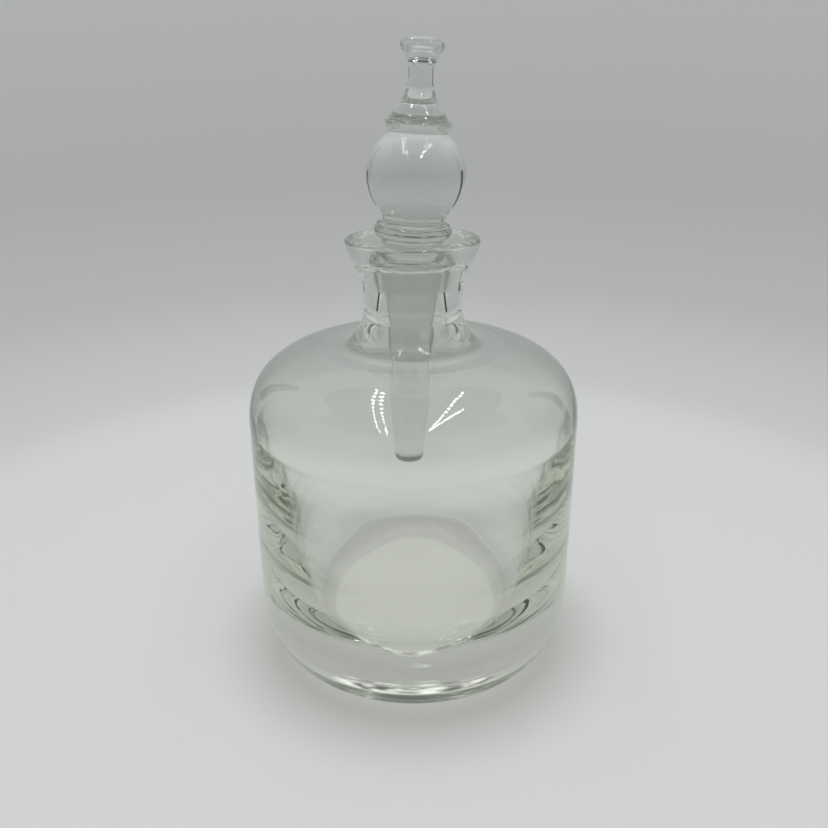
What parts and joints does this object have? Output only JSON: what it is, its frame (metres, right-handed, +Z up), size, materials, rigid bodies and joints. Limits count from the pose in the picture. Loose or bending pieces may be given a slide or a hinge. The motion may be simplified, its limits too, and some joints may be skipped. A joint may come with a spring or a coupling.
{
  "type": "glass decanter with stopper",
  "caption": "Clear glass decanter with a thick base, a round shoulder, a flared lip and a solid turned glass stopper that lifts out.",
  "frame": {"origin": "centre of the base, on the surface it stands on", "axes": "+Z up, along the bottle's axis and the object's longest side; the stopper leans a little towards +X at its top"},
  "size_m": [0.117, 0.117, 0.2171],
  "materials": {
    "bottle_glass": "clear, polished, faintly green-grey where it is thick",
    "stopper_glass": "clear and polished, with a matt ground seat"
  },
  "bodies": {
    "bottle": {"bottle": "bottle_glass"},
    "stopper": {"stopper": "stopper_glass"}
  },
  "joints": [
    {"name": "stopper_lift", "type": "slide", "parent": "bottle", "child": "stopper", "axis": [0.0209, 0, 0.9998], "range_m": [0, 0.095]}
  ]
}
